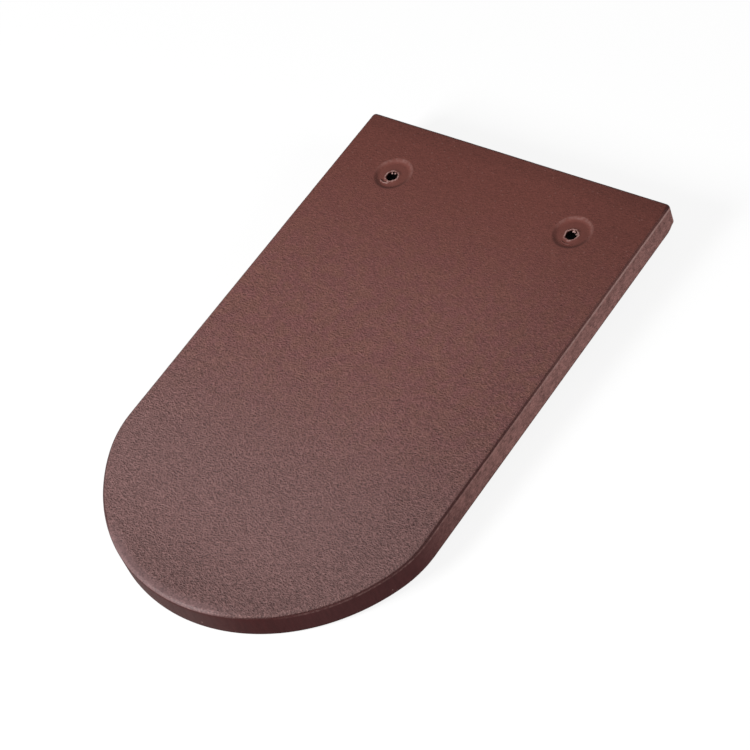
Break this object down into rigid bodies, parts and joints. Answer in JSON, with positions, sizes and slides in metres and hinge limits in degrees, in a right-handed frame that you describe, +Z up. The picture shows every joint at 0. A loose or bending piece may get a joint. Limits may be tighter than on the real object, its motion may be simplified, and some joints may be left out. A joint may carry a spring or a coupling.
{
  "type": "clay roof tile",
  "caption": "Flat clay plain tile with a rounded tail, nail holes at the head and hanging nibs underneath, for pitched roofs and hung walls.",
  "frame": {"origin": "bottom centre of the bounding box, with the tile lying on its two nibs and the tip of its tail", "axes": "+Y from the rounded tail towards the head, +X across the tile, +Z up; the weather face leans 2.26 degrees towards the tail"},
  "size_m": [0.165, 0.2652, 0.0233],
  "materials": {
    "fired_clay": "matt unglazed clay, leather-grained weather face"
  },
  "bodies": {
    "root": {"roof_tile": "fired_clay"}
  },
  "joints": []
}
